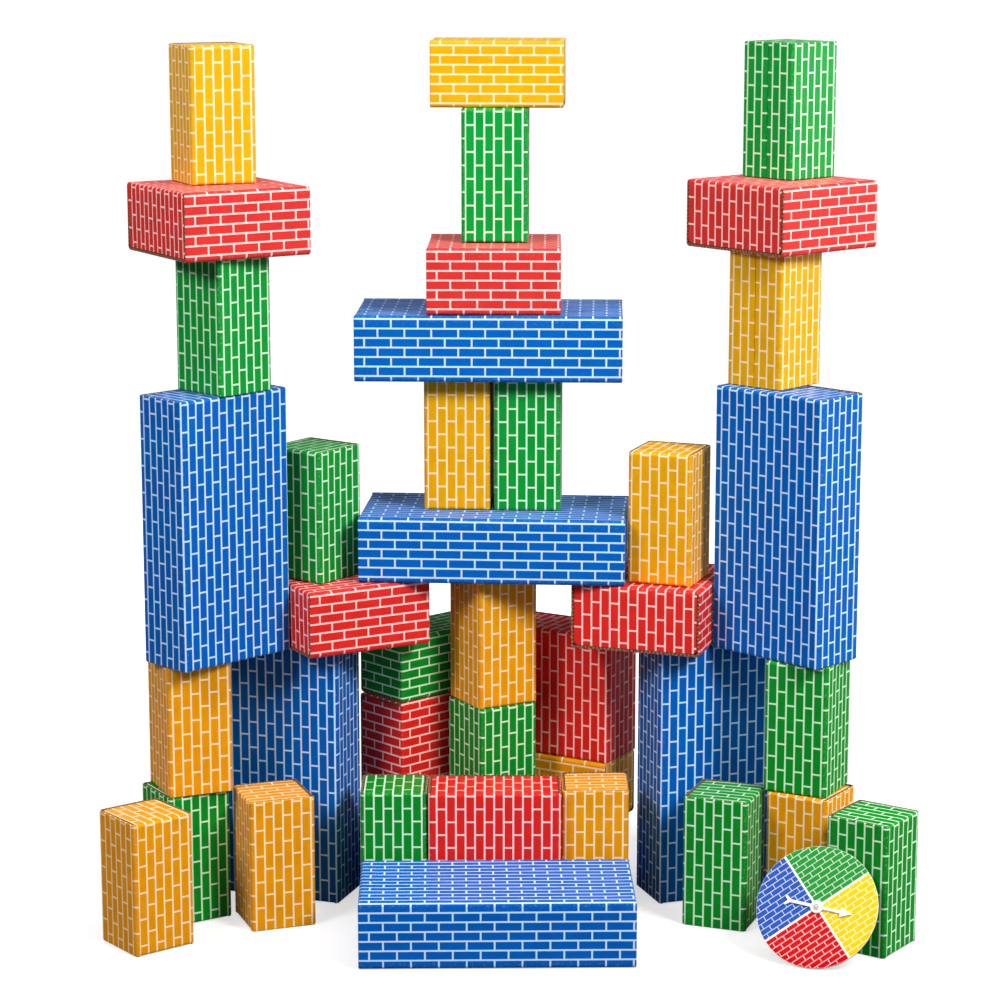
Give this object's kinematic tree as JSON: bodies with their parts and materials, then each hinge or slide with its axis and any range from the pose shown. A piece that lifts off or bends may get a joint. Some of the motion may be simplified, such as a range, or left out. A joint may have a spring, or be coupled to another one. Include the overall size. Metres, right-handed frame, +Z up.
{
  "type": "stacked toy building block castle",
  "caption": "Castle of hollow folded-card building blocks in long, square and half sizes, stacked in towers, with a card spinner and free-turning arrow leaning on one block.",
  "frame": {"origin": "middle of the underside of the centre base plank, on the floor", "axes": "+X along the front of the castle to the viewer's right, +Y from the front of the castle to its back, +Z up"},
  "size_m": [0.9129, 0.4282, 0.9903],
  "materials": {
    "yellow_brick_card": "printed brick pattern, satin varnish",
    "green_brick_card": "printed brick pattern, satin varnish",
    "red_brick_card": "printed brick pattern, satin varnish",
    "blue_brick_card": "printed brick pattern, satin varnish",
    "spinner_card": "printed in four coloured quarters with white dividing bands",
    "white_plastic": "moulded, semi-gloss"
  },
  "bodies": {
    "left_tower_1_green_half": {"left_tower_1_green_half": "green_brick_card"},
    "left_tower_2_yellow_half": {"left_tower_2_yellow_half": "yellow_brick_card"},
    "left_tower_3_blue_long": {"left_tower_3_blue_long": "blue_brick_card"},
    "left_tower_4_green_half": {"left_tower_4_green_half": "green_brick_card"},
    "left_tower_5_red_square": {"left_tower_5_red_square": "red_brick_card"},
    "left_tower_6_yellow_half": {"left_tower_6_yellow_half": "yellow_brick_card"},
    "left_pier_1_blue_long": {"left_pier_1_blue_long": "blue_brick_card"},
    "left_pier_2_red_square": {"left_pier_2_red_square": "red_brick_card"},
    "left_pier_3_green_half": {"left_pier_3_green_half": "green_brick_card"},
    "left_post_outer_yellow_half": {"left_post_outer_yellow_half": "yellow_brick_card"},
    "left_post_inner_yellow_half": {"left_post_inner_yellow_half": "yellow_brick_card"},
    "front_step_blue_long": {"front_step_blue_long": "blue_brick_card"},
    "front_wall_left_green_half": {"front_wall_left_green_half": "green_brick_card"},
    "front_wall_middle_red_square": {"front_wall_middle_red_square": "red_brick_card"},
    "front_wall_right_yellow_half": {"front_wall_right_yellow_half": "yellow_brick_card"},
    "centre_base_blue_long": {"centre_base_blue_long": "blue_brick_card"},
    "centre_tower_1_green_half": {"centre_tower_1_green_half": "green_brick_card"},
    "centre_tower_2_yellow_half": {"centre_tower_2_yellow_half": "yellow_brick_card"},
    "centre_tower_3_blue_beam": {"centre_tower_3_blue_beam": "blue_brick_card"},
    "centre_tower_4_yellow_half": {"centre_tower_4_yellow_half": "yellow_brick_card"},
    "centre_tower_4_green_half": {"centre_tower_4_green_half": "green_brick_card"},
    "centre_tower_5_blue_beam": {"centre_tower_5_blue_beam": "blue_brick_card"},
    "centre_tower_6_red_square": {"centre_tower_6_red_square": "red_brick_card"},
    "centre_tower_7_green_half": {"centre_tower_7_green_half": "green_brick_card"},
    "centre_tower_8_yellow_half": {"centre_tower_8_yellow_half": "yellow_brick_card"},
    "rear_left_1_red_square": {"rear_left_1_red_square": "red_brick_card"},
    "rear_left_2_green_half": {"rear_left_2_green_half": "green_brick_card"},
    "rear_right_1_yellow_half": {"rear_right_1_yellow_half": "yellow_brick_card"},
    "rear_right_2_red_square": {"rear_right_2_red_square": "red_brick_card"},
    "right_pier_1_blue_long": {"right_pier_1_blue_long": "blue_brick_card"},
    "right_pier_2_red_square": {"right_pier_2_red_square": "red_brick_card"},
    "right_pier_3_yellow_half": {"right_pier_3_yellow_half": "yellow_brick_card"},
    "right_tower_1_yellow_half": {"right_tower_1_yellow_half": "yellow_brick_card"},
    "right_tower_2_green_half": {"right_tower_2_green_half": "green_brick_card"},
    "right_tower_3_blue_long": {"right_tower_3_blue_long": "blue_brick_card"},
    "right_tower_4_yellow_half": {"right_tower_4_yellow_half": "yellow_brick_card"},
    "right_tower_5_red_square": {"right_tower_5_red_square": "red_brick_card"},
    "right_tower_6_green_half": {"right_tower_6_green_half": "green_brick_card"},
    "right_post_inner_green_half": {"right_post_inner_green_half": "green_brick_card"},
    "right_post_outer_green_half": {"right_post_outer_green_half": "green_brick_card"},
    "spinner_disc": {"spinner_disc": "spinner_card", "spinner_rivet": "white_plastic"},
    "spinner_arrow": {"spinner_arrow": "white_plastic"}
  },
  "joints": [
    {"name": "spinner_arrow_spin", "type": "hinge", "parent": "spinner_disc", "child": "spinner_arrow", "pos_m": [0.35664, -0.29006, 0.05872], "axis": [-0.3072, -0.8002, 0.515], "continuous": true},
    {"name": "spinner_disc_lift", "type": "slide", "parent": "centre_base_blue_long", "child": "spinner_disc", "axis": [0, 0, 1], "range_m": [0, 0.1]},
    {"name": "left_pier_1_pull", "type": "slide", "parent": "centre_base_blue_long", "child": "left_pier_1_blue_long", "axis": [-0.342, 0.9397, 0], "range_m": [0, 0.1]},
    {"name": "left_pier_2_pull", "type": "slide", "parent": "left_pier_1_blue_long", "child": "left_pier_2_red_square", "axis": [-0.2588, 0.9659, 0], "range_m": [0, 0.1]},
    {"name": "centre_tower_4_yellow_pull", "type": "slide", "parent": "centre_tower_3_blue_beam", "child": "centre_tower_4_yellow_half", "axis": [-0.1736, 0.9848, 0], "range_m": [0, 0.09]},
    {"name": "rear_left_1_pull", "type": "slide", "parent": "centre_base_blue_long", "child": "rear_left_1_red_square", "axis": [0, 1, 0], "range_m": [0, 0.1]},
    {"name": "rear_left_2_pull", "type": "slide", "parent": "rear_left_1_red_square", "child": "rear_left_2_green_half", "axis": [0, 1, 0], "range_m": [0, 0.08]},
    {"name": "rear_right_1_pull", "type": "slide", "parent": "centre_base_blue_long", "child": "rear_right_1_yellow_half", "axis": [0.5, 0.866, 0], "range_m": [0, 0.1]},
    {"name": "rear_right_2_pull", "type": "slide", "parent": "rear_right_1_yellow_half", "child": "rear_right_2_red_square", "axis": [0.5, 0.866, 0], "range_m": [0, 0.08]},
    {"name": "right_pier_1_pull", "type": "slide", "parent": "centre_base_blue_long", "child": "right_pier_1_blue_long", "axis": [0.2588, 0.9659, 0], "range_m": [0, 0.08]},
    {"name": "right_pier_2_pull", "type": "slide", "parent": "right_pier_1_blue_long", "child": "right_pier_2_red_square", "axis": [0.2588, 0.9659, 0], "range_m": [0, 0.1]},
    {"name": "left_tower_1_lift", "type": "slide", "parent": "centre_base_blue_long", "child": "left_tower_1_green_half", "axis": [0, 0, 1], "range_m": [0, 0.1]},
    {"name": "left_tower_2_lift", "type": "slide", "parent": "left_tower_1_green_half", "child": "left_tower_2_yellow_half", "axis": [0, 0, 1], "range_m": [0, 0.1]},
    {"name": "left_tower_3_lift", "type": "slide", "parent": "left_tower_2_yellow_half", "child": "left_tower_3_blue_long", "axis": [0, 0, 1], "range_m": [0, 0.1]},
    {"name": "left_tower_4_lift", "type": "slide", "parent": "left_tower_3_blue_long", "child": "left_tower_4_green_half", "axis": [0, 0, 1], "range_m": [0, 0.1]},
    {"name": "left_tower_5_lift", "type": "slide", "parent": "left_tower_4_green_half", "child": "left_tower_5_red_square", "axis": [0, 0, 1], "range_m": [0, 0.1]},
    {"name": "left_tower_6_lift", "type": "slide", "parent": "left_tower_5_red_square", "child": "left_tower_6_yellow_half", "axis": [0, 0, 1], "range_m": [0, 0.1]},
    {"name": "left_pier_3_lift", "type": "slide", "parent": "left_pier_2_red_square", "child": "left_pier_3_green_half", "axis": [0, 0, 1], "range_m": [0, 0.06]},
    {"name": "left_post_outer_lift", "type": "slide", "parent": "centre_base_blue_long", "child": "left_post_outer_yellow_half", "axis": [0, 0, 1], "range_m": [0, 0.1]},
    {"name": "left_post_inner_lift", "type": "slide", "parent": "centre_base_blue_long", "child": "left_post_inner_yellow_half", "axis": [0, 0, 1], "range_m": [0, 0.1]},
    {"name": "front_step_lift", "type": "slide", "parent": "centre_base_blue_long", "child": "front_step_blue_long", "axis": [0, 0, 1], "range_m": [0, 0.1]},
    {"name": "front_wall_left_lift", "type": "slide", "parent": "centre_base_blue_long", "child": "front_wall_left_green_half", "axis": [0, 0, 1], "range_m": [0, 0.1]},
    {"name": "front_wall_middle_lift", "type": "slide", "parent": "centre_base_blue_long", "child": "front_wall_middle_red_square", "axis": [0, 0, 1], "range_m": [0, 0.1]},
    {"name": "front_wall_right_lift", "type": "slide", "parent": "centre_base_blue_long", "child": "front_wall_right_yellow_half", "axis": [0, 0, 1], "range_m": [0, 0.1]},
    {"name": "centre_tower_1_lift", "type": "slide", "parent": "centre_base_blue_long", "child": "centre_tower_1_green_half", "axis": [0, 0, 1], "range_m": [0, 0.1]},
    {"name": "centre_tower_2_lift", "type": "slide", "parent": "centre_tower_1_green_half", "child": "centre_tower_2_yellow_half", "axis": [0, 0, 1], "range_m": [0, 0.1]},
    {"name": "centre_tower_3_lift", "type": "slide", "parent": "centre_tower_2_yellow_half", "child": "centre_tower_3_blue_beam", "axis": [0, 0, 1], "range_m": [0, 0.1]},
    {"name": "centre_tower_4_green_lift", "type": "slide", "parent": "centre_tower_3_blue_beam", "child": "centre_tower_4_green_half", "axis": [0, 0, 1], "range_m": [0, 0.1]},
    {"name": "centre_tower_5_lift", "type": "slide", "parent": "centre_tower_4_green_half", "child": "centre_tower_5_blue_beam", "axis": [0, 0, 1], "range_m": [0, 0.1]},
    {"name": "centre_tower_6_lift", "type": "slide", "parent": "centre_tower_5_blue_beam", "child": "centre_tower_6_red_square", "axis": [0, 0, 1], "range_m": [0, 0.1]},
    {"name": "centre_tower_7_lift", "type": "slide", "parent": "centre_tower_6_red_square", "child": "centre_tower_7_green_half", "axis": [0, 0, 1], "range_m": [0, 0.1]},
    {"name": "centre_tower_8_lift", "type": "slide", "parent": "centre_tower_7_green_half", "child": "centre_tower_8_yellow_half", "axis": [0, 0, 1], "range_m": [0, 0.1]},
    {"name": "right_pier_3_lift", "type": "slide", "parent": "right_pier_2_red_square", "child": "right_pier_3_yellow_half", "axis": [0, 0, 1], "range_m": [0, 0.1]},
    {"name": "right_tower_1_lift", "type": "slide", "parent": "centre_base_blue_long", "child": "right_tower_1_yellow_half", "axis": [0, 0, 1], "range_m": [0, 0.1]},
    {"name": "right_tower_2_lift", "type": "slide", "parent": "right_tower_1_yellow_half", "child": "right_tower_2_green_half", "axis": [0, 0, 1], "range_m": [0, 0.1]},
    {"name": "right_tower_3_lift", "type": "slide", "parent": "right_tower_2_green_half", "child": "right_tower_3_blue_long", "axis": [0, 0, 1], "range_m": [0, 0.1]},
    {"name": "right_tower_4_lift", "type": "slide", "parent": "right_tower_3_blue_long", "child": "right_tower_4_yellow_half", "axis": [0, 0, 1], "range_m": [0, 0.1]},
    {"name": "right_tower_5_lift", "type": "slide", "parent": "right_tower_4_yellow_half", "child": "right_tower_5_red_square", "axis": [0, 0, 1], "range_m": [0, 0.1]},
    {"name": "right_tower_6_lift", "type": "slide", "parent": "right_tower_5_red_square", "child": "right_tower_6_green_half", "axis": [0, 0, 1], "range_m": [0, 0.1]},
    {"name": "right_post_inner_lift", "type": "slide", "parent": "centre_base_blue_long", "child": "right_post_inner_green_half", "axis": [0, 0, 1], "range_m": [0, 0.1]},
    {"name": "right_post_outer_lift", "type": "slide", "parent": "centre_base_blue_long", "child": "right_post_outer_green_half", "axis": [0, 0, 1], "range_m": [0, 0.1]}
  ]
}
